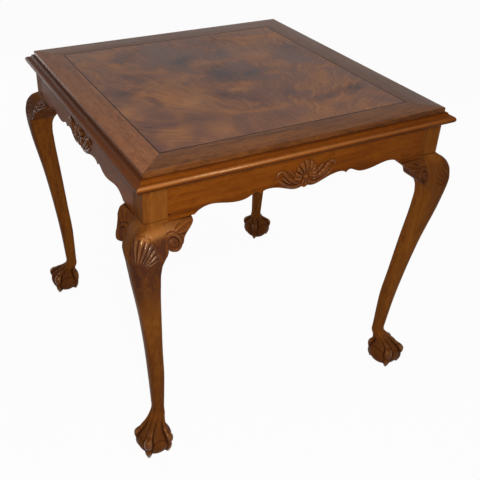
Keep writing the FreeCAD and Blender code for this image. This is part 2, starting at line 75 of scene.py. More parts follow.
class Slot(Enum):
    """Kinds of finish for the pieces that are made anew; a carved piece's name ends in _carved."""
    BORDER = "border_walnut"
    SOLID = "solid_walnut"
    CARVED = "carved_walnut"


def linear(colour: str) -> tuple[float, float, float, float]:
    """Turn an sRGB hex colour into the linear values that a shader takes.

    Args:
        colour: Six hex digits.
    Returns:
        Red, green, blue and alpha.
    """
    parts = [int(colour[i:i + 2], 16) / 255 for i in (0, 2, 4)]
    red, green, blue = [c / 12.92 if c <= 0.04045 else ((c + 0.055) / 1.055) ** 2.4 for c in parts]
    return red, green, blue, 1.0


def feed(node: Node, inputs: dict) -> None:
    """Link or set a node's inputs.

    Args:
        node: The node.
        inputs: For each input's name or number, a socket to link or a value to set.
    """
    for key, value in inputs.items():
        if isinstance(value, NodeSocket):
            node.id_data.links.new(value, node.inputs[key])
        else:
            node.inputs[key].default_value = value


def add_node(tree: NodeTree, kind: str, inputs: dict | None = None,
             stops: Sequence[tuple[float, str]] = (), out: int | str = 0,
             **settings: Any) -> NodeSocket:
    """Add a shader node with its settings, values and links.

    Args:
        tree: The tree to add to.
        kind: The node's type, without the words that all shader nodes start with.
        inputs: For each input's name or number, a socket to link or a value to set.
        stops: Places and hex colours, for a node with a colour ramp.
        out: The output that is wanted.
        settings: Properties of the node.
    Returns:
        The output's socket.
    """
    node = tree.nodes.new("ShaderNode" + kind)
    for key, value in settings.items():
        setattr(node, key, value)
    feed(node, inputs or {})
    for index, (place, colour) in enumerate(stops):
        ramp = node.color_ramp.elements
        stop = ramp[index] if index < 2 else ramp.new(place)
        stop.position = place
        stop.color = linear(colour)
    return node.outputs[out]


def new_material(name: str) -> tuple[Material, Adder, Node]:
    """Make an empty material.

    Args:
        name: What the material is.
    Returns:
        The material, a call that adds nodes to it, and its shader.
    """
    material = bpy.data.materials.new(name)
    material.use_nodes = True
    tree = material.node_tree
    return material, partial(add_node, tree), tree.nodes["Principled BSDF"]


def smooth_step(low: float, high: float, value: Array) -> Array:
    """Return 0 below low and 1 above high, with a smooth rise between them."""
    share = np.clip((value - low) / (high - low), 0, 1)
    return share * share * (3 - 2 * share)


def bell(value: Array, middle: float, width: float) -> Array:
    """Return a rounded peak of 1 at the middle, which falls off over the width."""
    return np.exp(-((value - middle) / width) ** 2)


def chord(radius: Array | float, away: Array) -> Array:
    """Return half of a circle's chord at a distance from its middle, and 0 past its edge."""
    return np.sqrt(np.maximum(radius ** 2 - away ** 2, 0))


def round_end(middle: Array, turn: Array, radius: Array) -> Array:
    """Return how far a round edge lies at an angle from the line to its own middle, given its radius."""
    return middle * np.cos(turn) + chord(radius, middle * np.sin(turn))


def soft_max(first: Array, second: Array, blend: float) -> Array:
    """Return the larger of two heights, with the corner between them filled by about half of blend."""
    return 0.5 * (first + second + np.sqrt((first - second) ** 2 + blend * blend))


def fair_curve(value: Array, stations: Sequence[tuple[float, float]]) -> Array:
    """Run a fair curve through stations, without overshoot.

    Args:
        value: Where to read the curve.
        stations: Places in rising order and the curve's value at each.
    Returns:
        The curve's values.
    """
    xs, ys = np.array(stations, float).T
    step = np.diff(xs)
    rise = np.diff(ys) / step
    slope = np.zeros_like(ys)
    product = rise[:-1] * rise[1:]
    steady = product > 0
    slope[1:-1][steady] = 2 * product[steady] / (rise[:-1] + rise[1:])[steady]
    slope[0], slope[-1] = rise[0], rise[-1]
    value = np.clip(value, xs[0], xs[-1])
    k = np.clip(np.searchsorted(xs, value) - 1, 0, len(step) - 1)
    t = (value - xs[k]) / step[k]
    bend = (1 - t) * t * step[k]
    straight = ys[k] + t * (ys[k + 1] - ys[k])
    return straight + bend * ((1 - t) * (slope[k] - rise[k]) - t * (slope[k + 1] - rise[k]))


def average(height: Array, passes: int, wrapped: bool) -> Array:
    """Average a carved height with its neighbours.

    Args:
        height: Rows and columns of heights.
        passes: How many times the average spreads.
        wrapped: Whether the columns go round.
    Returns:
        The smoothed heights.
    """
    mean = height
    for _ in range(passes):
        mode = "wrap" if wrapped else "edge"
        across = np.pad(mean, ((0, 0), (1, 1)), mode=mode)
        mean = (across[:, :-2] + across[:, 2:] + 2 * mean) / 4
        along = np.pad(mean, ((1, 1), (0, 0)), mode="edge")
        mean = (along[:-2] + along[2:] + 2 * mean) / 4
    return mean


def relief(height: Array, passes: int, depth: float, wrapped: bool) -> Array:
    """Tell hollows from ridges by comparing a carved height with its own average.

    Args:
        height: Rows and columns of heights.
        passes: How many times the average spreads.
        depth: The difference that counts as fully hollow or fully ridged.
        wrapped: Whether the columns go round.
    Returns:
        From -1 in hollows to 1 on ridges.
    """
    return np.clip((height - average(height, passes, wrapped)) / depth, -1, 1)


@dataclass(frozen=True)
class Timber:
    """Polished hardwood: bands of colour, fine streaks and open pores along the grain.

    Sizes are in millimetres. The streaks and pores are drawn about three times as coarse as the real
    ones, so that they show at the size of the picture.
    """
    name: str
    dark: str
    mid: str
    light: str
    grain: Grain
    # Painted shade: the colour that hollows and creases are darkened towards.
    hollow: str = "2b160a"
    # Colour of lighter ridges, partly scuffing and partly a painted highlight.
    worn_and_highlight: str = "a8692f"
    band: float = 42.0
    streak: float = 3.2
    pore: float = 1.3
    smudge: float = 13.0
    mottle: float = 0.0
    roughness: float = 0.33
    sheen: float = 0.028
    lustre: float = 0.42
    # Colour of a darker finish, which in places also stands for painted shade.
    stain: str = "4b291a"
    hole: Place | None = None
    pin: str = "120a06"
    tint: str = "ffe4bc"
    streak_share: float = 0.3
    full_ridge: float = 0.5
    smoothing: float = 0.42

    def stretch(self, across: float, along: float) -> Place:
        """Return the pattern's scale for each axis from its size across and along the grain."""
        scale = [1 / (across * MM)] * 3
        scale[self.grain.value] = 1 / (along * MM)
        return tuple(scale)

    def make(self) -> Material:
        """Make the material.

        Returns:
            Timber with a thin clear polish: painted shade in hollows and creases, lighter glossier ridges
                that are partly
            scuffing and partly painted highlight, slight grain in relief.
        """
        material, add, shader = new_material(self.name)
        place = add("TexCoord", out="Object")
        layers = []
        for size, length, detail, twist in ((self.band, 14, 4, 1.2), (self.streak, 40, 5, 0.3),
                                            (self.pore, 16, 2, 0.0), (self.smudge, 3, 3, 1.5)):
            spread = add("Mapping", {
                "Vector": place, "Location": (size * 0.013, size * 0.031, size * 0.017),
                "Scale": self.stretch(size, size * length)})
            layers.append(add("TexNoise", {
                "Vector": spread, "Scale": 1.0, "Detail": float(detail), "Roughness": 0.6,
                "Distortion": twist}))
        band, streak, pore, smudge = layers
        tone = add("Mix", {0: self.streak_share, 2: band, 3: streak})
        tone = add("Math", {0: smudge, 1: self.mottle, 2: tone}, operation="MULTIPLY_ADD")
        lift = self.mottle / 2
        wood = add("ValToRGB", {0: tone}, (
            (0.33 + lift, self.dark), (0.68 + lift, self.light), (0.5 + lift, self.mid)))
        pores = add("MapRange", {"Value": pore, "From Min": 0.6, "From Max": 0.72, "To Max": 0.45})
        # The carve mark paints shade into hollows and creases and lightens ridges, partly as scuffing and
        # partly as painted highlight; ridges are also glossier.
        carve = add("Attribute", attribute_name="carve", out="Fac")
        hollow = add("MapRange", {"Value": carve, "From Min": -0.1, "From Max": -0.9, "To Max": 0.8})
        ridge = add("MapRange", {
            "Value": carve, "From Min": 0.15, "From Max": 0.9, "To Max": self.full_ridge})
        uneven = add("MapRange", {
            "Value": smudge, "From Min": 0.36, "From Max": 0.64, "To Min": 0.55, "To Max": 1.3})
        # Mark for a darker finish that is partly painted shade, made uneven by the smudge noise.
        stain = add("Attribute", attribute_name="stain", out="Fac")
        stain = add("Math", {0: stain, 1: uneven}, operation="MULTIPLY", use_clamp=True)
        # Coats: pores, ridges (scuffing and painted highlight), the darker finish (partly painted shade),
        # and painted shade in hollows.
        coats = [(pores, self.dark), (ridge, self.worn_and_highlight), (stain, self.stain), (hollow, self.hollow)]
        if self.hole:
            middle = Vector(self.hole) * MM
            spot = add("VectorMath", {0: place, 1: middle}, out="Value", operation="DISTANCE")
            spot = add("MapRange", {
                "Value": spot, "From Min": 2.4 * MM, "From Max": 1.6 * MM, "To Max": 0.85})
            coats.append((spot, self.pin))
        for share, colour in coats:
            wood = add("Mix", {0: share, 6: wood, 7: linear(colour)}, out=2, data_type="RGBA")
        gloss = add("MapRange", {
            "Value": streak, "From Min": 0.3, "From Max": 0.7, "To Min": self.roughness - 0.06,
            "To Max": self.roughness + 0.1})
        gloss = add("Math", {0: ridge, 1: -self.smoothing, 2: gloss}, operation="MULTIPLY_ADD")
        shine = add("MapRange", {
            "Value": ridge, "From Max": self.full_ridge, "To Min": self.sheen,
            "To Max": self.sheen + self.lustre})
        bump = add("Bump", {"Height": streak, "Strength": 0.25, "Distance": 0.3 * MM})
        feed(shader, {"Base Color": wood, "Roughness": gloss, "Normal": bump,
                      "Specular IOR Level": shine, "Specular Tint": linear(self.tint)})
        return material


@dataclass(frozen=True)
class Cloud:
    """A cloud in figured veneer, in millimetres and degrees. Its depth is above 0 where it is dark."""
    x: float
    y: float
    half_length: float
    half_width: float
    turn: float
    depth: float


@dataclass(frozen=True)
class FiguredVeneer:
    """Crotch walnut veneer: smoky heart, feathered streaks that fan from it, and drifting clouds.

    Sizes are in millimetres.
    """
    name: str = "figured walnut crotch veneer"
    dark: str = "382220"
    mid: str = "673c26"
    light: str = "a0683a"
    roughness: float = 0.36
    sheen: float = 0.11
    height: float = 750.0
    drift_size: float = 190.0
    drifts: tuple[float, float] = (95.0, 120.0)
    fan_drop: float = 420.0
    mottle_size: float = 120.0
    mottle_share: float = 0.68
    fleck_share: float = 0.36
    clouds: tuple[Cloud, ...] = tuple(Cloud(*row) for row in (
        (-40, 148, 92, 40, 45, 0.9), (4, 24, 110, 72, 78, 1.0), (70, -12, 90, 54, 20, 0.5),
        (-42, -112, 82, 46, -38, 0.8), (0, -150, 60, 34, 70, 0.5), (238, -188, 62, 42, 10, 0.9),
        (160, -196, 110, 24, 12, 0.5), (-208, 72, 66, 26, 105, 0.6), (-204, -60, 50, 20, 95, 0.6),
        (258, 118, 110, 80, 60, 0.5), (-165, 215, 110, 56, 30, 0.45), (-245, 14, 90, 40, 15, 0.4),
        (120, 250, 190, 70, 0, 0.45), (90, -130, 90, 34, 55, 0.5), (-250, -185, 150, 22, -8, 0.4),
        (70, 165, 66, 42, 60, 0.4), (-130, -112, 110, 90, 30, -0.45), (-270, -80, 80, 80, 0, -0.32),
        (140, 122, 80, 66, 20, -0.45), (14, 104, 60, 44, 0, -0.35), (-14, -88, 52, 30, 10, -0.42),
        (-100, 40, 80, 66, 40, -0.28), (-235, 255, 130, 70, 10, -0.28), (-150, -265, 180, 80, 8, -0.35),
        (170, 25, 90, 56, 0, -0.24), (60, -235, 110, 60, 60, -0.24)))

    def make(self) -> Material:
        """Make the material.

        Returns:
            Polished veneer whose figure is drawn with the table's middle as the heart.
        """
        material, add, shader = new_material(self.name)
        place = add("TexCoord", out="Object")
        drift = add("TexNoise", {
            "Vector": place, "Scale": 1 / (self.drift_size * MM), "Detail": 5.0,
            "Roughness": 0.56}, out="Color")
        drift = add("VectorMath", {0: drift, 1: (0.5, 0.5, 0.5)}, operation="SUBTRACT")
        shifted = []
        for amount in self.drifts:
            move = add("VectorMath", {0: drift, "Scale": amount * MM}, operation="SCALE")
            shifted.append(add("VectorMath", {0: place, 1: move}, operation="ADD"))
        eased, warped = shifted
        smoke = 0.0
        for cloud in self.clouds:
            spot = add("Mapping", {
                "Vector": eased, "Location": (cloud.x * MM, cloud.y * MM, self.height * MM),
                "Rotation": (0, 0, math.radians(cloud.turn)),
                "Scale": (cloud.half_length * MM, cloud.half_width * MM, 1)}, vector_type="TEXTURE")
            soft = add("TexGradient", {"Vector": spot}, out="Fac", gradient_type="QUADRATIC_SPHERE")
            smoke = add("Math", {0: soft, 1: cloud.depth, 2: smoke}, operation="MULTIPLY_ADD")
        axes = add("SeparateXYZ", {0: warped}).node.outputs
        rise = add("Math", {0: axes[1], 1: self.fan_drop * MM}, operation="ADD")
        lean = add("Math", {0: axes[0], 1: rise}, operation="ARCTAN2")
        fan = add("CombineXYZ", {0: lean, 1: rise})
        layers = []
        for across, along, detail, twist in ((60, 170, 5, 0.3), (24, 40, 7, 0.8)):
            spread = add("Mapping", {"Vector": fan, "Scale": (across, 1 / (along * MM), 1)})
            layers.append(add("TexNoise", {
                "Vector": spread, "Scale": 1.0, "Detail": float(detail), "Roughness": 0.64,
                "Distortion": twist}))
        streak, fleck = layers
        mottle = add("TexNoise", {
            "Vector": warped, "Scale": 1 / (self.mottle_size * MM), "Detail": 4.0, "Roughness": 0.5,
            "Distortion": 0.7})
        tone = add("Mix", {0: self.mottle_share, 2: streak, 3: mottle})
        tone = add("Math", {0: fleck, 1: self.fleck_share, 2: tone}, operation="MULTIPLY_ADD")
        feathered = add("MapRange", {
            "Value": fleck, "From Min": 0.35, "From Max": 0.65, "To Min": 0.62, "To Max": 0.2})
        smoke = add("Math", {0: smoke, 1: feathered}, operation="MULTIPLY")
        tone = add("Math", {0: tone, 1: smoke}, operation="SUBTRACT")
        wood = add("ValToRGB", {0: tone}, (
            (0.355, self.dark), (0.91, self.light), (0.635, self.mid)))
        gloss = add("MapRange", {
            "Value": mottle, "From Min": 0.3, "From Max": 0.7, "To Min": self.roughness - 0.05,
            "To Max": self.roughness + 0.09})
        bump = add("Bump", {"Height": streak, "Strength": 0.12, "Distance": 0.25 * MM})
        feed(shader, {"Base Color": wood, "Roughness": gloss, "Normal": bump,
                      "Specular IOR Level": self.sheen})
        return material


@dataclass(frozen=True)
class ScrewSteel:
    """Dull zinc-grey steel of old wood screws, with brown tarnish in patches of so many millimetres."""
    name: str = "tarnished steel screw"
    clean: str = "8f8c86"
    tarnish: str = "5a4636"
    patch: float = 3.0

    def make(self) -> Material:
        """Make the material and return it."""
        material, add, shader = new_material(self.name)
        place = add("TexCoord", out="Object")
        patch = add("TexNoise", {
            "Vector": place, "Scale": 1 / (self.patch * MM), "Detail": 4.0, "Roughness": 0.65})
        colour = add("ValToRGB", {0: patch}, ((0.42, self.clean), (0.66, self.tarnish)))
        rough = add("MapRange", {
            "Value": patch, "From Min": 0.3, "From Max": 0.7, "To Min": 0.32, "To Max": 0.6})
        bump = add("Bump", {"Height": patch, "Strength": 0.2, "Distance": 0.1 * MM})
        feed(shader, {"Base Color": colour, "Roughness": rough, "Normal": bump, "Metallic": 1.0})
        return material


class Finishes:
    """The table's materials, made once and shared."""

    def __init__(self) -> None:
        """Make every material."""
        # Each look's hollow colour is painted shade, and its ridge colour is partly scuffing and partly a
        # painted highlight.
        solid = dict(dark="633515", mid="764317", light="844e1d", worn_and_highlight="ad6a26", hollow="2c1108",
                     sheen=0.008, mottle=0.5)
        rail = dict(dark="5d2d0a", mid="70380b", light="804410", worn_and_highlight="a9651f", hollow="2a1007",
                    lustre=0.95, mottle=0.4)
        deep = dict(dark="4a250f", mid="613214", light="734019", worn_and_highlight="915626", hollow="1e0e07")
        # Each side's border boards have their own tone, lighter at the left and darker at the right: partly
        # the boards' own tone, partly painted light and shade.
        boards = {"front": ("4a2812", "663a1a", "794823"), "right": ("41230f", "5b3317", "6c401f"),
                  "back": ("462610", "613719", "744421"), "left": ("5a321a", "7a4829", "8d5935")}
        raw = dict(dark="5d4630", mid="82664a", light="9d8160", hollow="4a3826", worn_and_highlight="a58c6c",
                   roughness=0.66, band=22.0)
        black = dict(dark="17110e", mid="2a2220", light="3a3130", worn_and_highlight="4a403c", roughness=0.4)
        # The front rail has darker tones than the other rails, as painted shade.
        front = dict(rail, dark="502507", mid="6b350a", light="7d420f")
        self.solid = Timber("polished walnut along_z", grain=Grain.ALONG_Z, **solid).make()
        self.rail = self.by_grain("polished rail walnut", rail)
        self.pinned_rail = Timber("polished rail walnut with a pin hole", grain=Grain.ALONG_X,
                                  hole=(-308.5, -361.0, 650.0), **front).make()
        self.border = {side: Timber("polished border walnut " + side, *boards[side], grain=self.along(turn),
                                    worn_and_highlight="94602f", roughness=0.36, sheen=0.1, mottle=0.6).make()
                       for turn, side in enumerate(SIDES)}
        self.raw = self.by_grain("unpolished secondary wood", raw, tuple(Grain))
        self.black = self.by_grain("ebonised stringing", black)
        self.carved = self.by_grain("carved walnut", deep)
        self.field = FiguredVeneer().make()
        self.steel = ScrewSteel().make()

    @staticmethod
    def by_grain(name: str, look: dict, grains: Sequence[Grain] = (Grain.ALONG_X, Grain.ALONG_Y)
                 ) -> dict[Grain, Material]:
        """Make a timber once for each way that its fibres run.

        Args:
            name: What the timber is.
            look: Its colours and polish.
            grains: The ways that are needed.
        Returns:
            The materials.
        """
        return {g: Timber(name + " " + g.name.lower(), grain=g, **look).make() for g in grains}

    @staticmethod
    def along(turn: int) -> Grain:
        """Return the grain of a length that lies along the given side."""
        return Grain.ALONG_Y if turn % 2 else Grain.ALONG_X

    def dress_node(self, name: str, material: Material) -> None:
        """Give a CAD node its finish.

        Args:
            name: The node.
            material: Its finish.
        """
        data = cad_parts[name].data
        data.materials.clear()
        data.materials.append(material)
        log.info("dressed %s with %s", name, material.name)


class Bench:
    """Makes meshes and hands them over as finished pieces."""

    @staticmethod
    def clear() -> None:
        """Leave edit mode and deselect everything."""
        if bpy.context.object and bpy.context.object.mode != "OBJECT":
            bpy.ops.object.mode_set(mode="OBJECT")
        bpy.ops.object.select_all(action="DESELECT")

    @staticmethod
    def face_outwards() -> None:
        """Turn all faces of the piece being edited outwards, and leave edit mode."""
        bpy.ops.mesh.select_all(action="SELECT")
        bpy.ops.mesh.normals_make_consistent(inside=False)
        bpy.ops.object.mode_set(mode="OBJECT")

    @staticmethod
    def wrap(points: Array, marks: Marks) -> Object:
        """Wrap a fine grid round a closed form and close its ends.

        Args:
            points: Rows and columns of places in millimetres; the last column repeats the first.
            marks: What the finish reads at each place: carve, -1 in hollows to 1 on ridges, and stain.
        Returns:
            The closed mesh object.
        """
        Bench.clear()
        rows, columns, _ = points.shape
        bpy.ops.mesh.primitive_grid_add(x_subdivisions=columns - 1, y_subdivisions=rows - 1, size=2)
        piece = bpy.context.object
        Bench.place(piece, points, marks)
        bpy.ops.object.mode_set(mode="EDIT")
        bpy.ops.mesh.select_all(action="SELECT")
        bpy.ops.mesh.remove_doubles(threshold=0.01 * MM)
        bpy.ops.mesh.fill_holes(sides=0)
        Bench.face_outwards()
        return piece

    @staticmethod
    def place(piece: Object, points: Array, marks: Marks) -> None:
        """Move a new grid's points to a carved form.

        Args:
            piece: The grid.
            points: Rows and columns of places in millimetres.
            marks: What the finish reads at each place, by name.
        """
        mesh = piece.data
        flat = np.empty(len(mesh.vertices) * 3)
        mesh.vertices.foreach_get("co", flat)
        flat = np.round(flat.reshape(-1, 3), 5)
        order = np.lexsort((flat[:, 0], flat[:, 1]))
        moved = np.empty_like(flat)
        moved[order] = points.reshape(-1, 3) * MM
        mesh.vertices.foreach_set("co", moved.ravel())
        for name, values in marks.items():
            level = np.empty(len(order))
            level[order] = values.ravel()
            Bench.mark(piece, name, level)
        mesh.update()

    @staticmethod
    def mark(piece: Object, name: str, values: Array) -> None:
        """Write a value that the finish reads at each of a piece's points.

        Args:
            piece: The mesh object.
            name: The mark's name, carve or stain.
            values: One value for each point.
        """
        piece.data.attributes.new(name, "FLOAT", "POINT").data.foreach_set("value", values)

    @staticmethod
    def bar(outline: Sequence[tuple[float, float]], half: float) -> Object:
        """Draw a front bar's section, extrude it along X and cut both ends to the mitres.

        Args:
            outline: The section's points, Y and Z in millimetres, in order.
            half: Half the length before the mitres are cut.
        Returns:
            The mesh object.
        """
        Bench.clear()
        bpy.ops.mesh.primitive_circle_add(vertices=len(outline), fill_type="NGON")
        piece = bpy.context.object
        for vertex, (y, z) in zip(piece.data.vertices, outline):
            vertex.co = Vector((-half, y, z)) * MM
        bpy.ops.object.mode_set(mode="EDIT")
        bpy.ops.mesh.select_all(action="SELECT")
        bpy.ops.mesh.extrude_region_move(TRANSFORM_OT_translate={"value": (2 * half * MM, 0, 0)})
        for side in (-1, 1):
            bpy.ops.mesh.select_all(action="SELECT")
            bpy.ops.mesh.bisect(plane_co=(0, 0, 0), plane_no=(side, 1, 0), use_fill=True, clear_outer=True)
        Bench.face_outwards()
        return piece

    @staticmethod
    def twin(piece: Object, move: Matrix) -> Object:
        """Return a copy of a piece, moved by a matrix."""
        copy = piece.copy()
        copy.data = piece.data.copy()
        copy.data.transform(move)
        bpy.context.collection.objects.link(copy)
        return copy

    @staticmethod
    def copies(piece: Object) -> list[Object]:
        """Return the piece and three copies turned by quarter turns about the table's middle."""
        quarters = [Matrix.Rotation(math.pi / 2 * quarter, 4, "Z") for quarter in (1, 2, 3)]
        return [piece] + [Bench.twin(piece, quarter) for quarter in quarters]

    @staticmethod
    def mirror(piece: Object) -> Object:
        """Return a copy mirrored left to right, with its faces turned to point outwards again."""
        copy = Bench.twin(piece, Matrix.Scale(-1, 4, (1, 0, 0)))
        copy.data.flip_normals()
        return copy

    @staticmethod
    def hand_over(piece: Object, node: str, slot: Slot, material: Material, angle: float) -> None:
        """Shade, dress and name a piece and put it in its CAD node's place.

        Args:
            piece: The finished mesh.
            node: The CAD node that it stands for.
            slot: The kind of finish, which sets the ending of the piece's name.
            material: Its finish.
            angle: Edges sharper than this many degrees stay crisp.
        """
        Bench.clear()
        piece.name = node + "_carved" if slot is Slot.CARVED else node + "_made"
        piece.data.name = piece.name
        piece.data.materials.clear()
        piece.data.materials.append(material)
        piece.select_set(True)
        bpy.context.view_layer.objects.active = piece
        bpy.ops.object.shade_smooth_by_angle(angle=math.radians(angle))
        piece.select_set(False)
        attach(piece, BODY)
        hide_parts(node)
        log.info("made %s: %d faces", piece.name, len(piece.data.polygons))


@dataclass
class TableTop:
    """The framed top: figured field, stringing, border boards and edge moulding. Millimetres."""
    finishes: Finishes
    height: float = 750.0
    half: float = 360.0
    field_half: float = 301.0
    thickness: float = 22.0
    base: float = 717.0
    rail_inner: float = 339.0
    arris: float = 1.2
    moulding_half: float = 380.0
    fillet: Stations = ((5.2, 739.0), (5.8, 738.7), (6.0, 738.2), (6.0, 736.0))
    bead_out: float = 12.5
    bead_height: float = 724.5
    bead_radius: float = 7.5
    bead_start: float = 12.0
    board_crisp: float = 50.0
    moulding_crisp: float = 38.0
    # Painted shade on the outer edges of the border boards and on the mouldings of each side, counted from
    # the front, which gets none.
    side_shade: tuple[float, ...] = (0.0, 0.6, 0.6, 0.6)

    @staticmethod
    def at_front(piece: Object, turn: int) -> Array:
        """Return a length's points in millimetres as they would lie at the front, given its side's turn."""
        back = Matrix.Rotation(-math.pi / 2 * turn, 4, "Z")
        return np.array([back @ vertex.co for vertex in piece.data.vertices]) / MM

    def build(self) -> None:
        """Make the border boards and the moulding."""
        underside = self.height - self.thickness
        ease = self.eased(-self.half, self.height)
        board = Bench.bar([(-self.half, underside), *ease, (-self.field_half, self.height),
                           (-self.field_half, underside)], self.half)
        for turn, piece in enumerate(Bench.copies(board)):
            side = SIDES[turn]
            # Painted shade on the outer edge face of the border boards at the sides away from the front.
            edge = self.at_front(piece, turn)[:, 1] < 0.1 - self.half
            Bench.mark(piece, "stain", np.where(edge, self.side_shade[turn], 0.0))
            Bench.hand_over(piece, "top_border_" + side, Slot.BORDER, self.finishes.border[side],
                            self.board_crisp)
        moulding = Bench.bar(self.moulding_section(), self.moulding_half)
        for turn, piece in enumerate(Bench.copies(moulding)):
            material = self.finishes.rail[self.finishes.along(turn)]
            self.mark_shade_and_highlight(piece, turn)
            Bench.hand_over(piece, "edge_moulding_" + SIDES[turn], Slot.SOLID, material, self.moulding_crisp)

    def mark_shade_and_highlight(self, moulding: Object, turn: int) -> None:
        """Mark painted shade on a moulding's fillet, hollow and the underside of its bead, and a glossier
        painted highlight on the front bead's upper part.

        The other three sides get painted shade all over and no highlight on the bead.

        Args:
            moulding: One length.
            turn: Its side, counted from the front.
        """
        places = self.at_front(moulding, turn)
        out, z = -places[:, 1] - self.half, places[:, 2]
        lean = np.degrees(np.arctan2(z - self.bead_height, out - self.bead_out))
        end = self.half + self.bead_start
        # Painted highlight, also glossier, on the front bead's upper part, strongest at the left and fading
        # to the right; painted shade on the bead's lower half.
        wear_and_painted_light = 0.3 + 0.7 * smooth_step(end, -end, places[:, 0]) if turn == 0 else 0.1
        bead = wear_and_painted_light * bell(lean, 36, 25) - 0.9 * smooth_step(20, -40, lean)
        # Painted shade in the hollow and as a dark line along the top of the fillet.
        hollow = -0.15 * smooth_step(14.0, 11.0, out) * (z > 730.5) - 0.4 * smooth_step(737.8, 738.6, z)
        away = np.hypot(out - self.bead_out, z - self.bead_height)
        on_bead = (out > self.bead_start) & (away < self.bead_radius + 1.5)
        Bench.mark(moulding, "carve", np.where(on_bead, bead, hollow))
        # Painted shade over the whole moulding on the sides away from the front.
        Bench.mark(moulding, "stain", np.full(len(z), self.side_shade[turn]))

    def eased(self, y: float, z: float) -> list[tuple[float, float]]:
        """Return the points of a rubbed upper front corner at the given place."""
        turns = [math.radians(a) for a in (180, 157, 135, 112, 90)]
        return [(y + self.arris + self.arris * math.cos(a), z - self.arris + self.arris * math.sin(a))
                for a in turns]

    def moulding_section(self) -> list[tuple[float, float]]:
        """Return the moulding's section: fillet, hollow, round bead and rebate."""
        face = -self.half
        underside = self.height - self.thickness
        points = [(-self.rail_inner, self.base), (-self.rail_inner, underside), (face, underside),
                  (face, self.fillet[0][1])]
        points += [(face - out, z) for out, z in self.fillet]
        edge, foot = self.fillet[-1]
        run, fall = self.bead_out - edge, foot - self.bead_height - self.bead_radius
        for k in range(1, 8):
            share = k / 8
            points.append((face - edge - run * share, foot - fall * share - 4.8 * share * (1 - share)))
        for k in range(17):
            turn = math.radians(90 + 180 * k / 16)
            points.append((face - self.bead_out + self.bead_radius * math.cos(turn),
                           self.bead_height + self.bead_radius * math.sin(turn)))
        return points

    def dress(self) -> None:
        """Finish the CAD nodes of the top that keep their shape."""
        for corner in CORNERS:
            self.finishes.dress_node("field_veneer_" + corner, self.finishes.field)
        for turn, side in enumerate(SIDES):
            self.finishes.dress_node("stringing_" + side, self.finishes.black[self.finishes.along(turn)])
        self.finishes.dress_node("top_core", self.finishes.raw[Grain.ALONG_X])


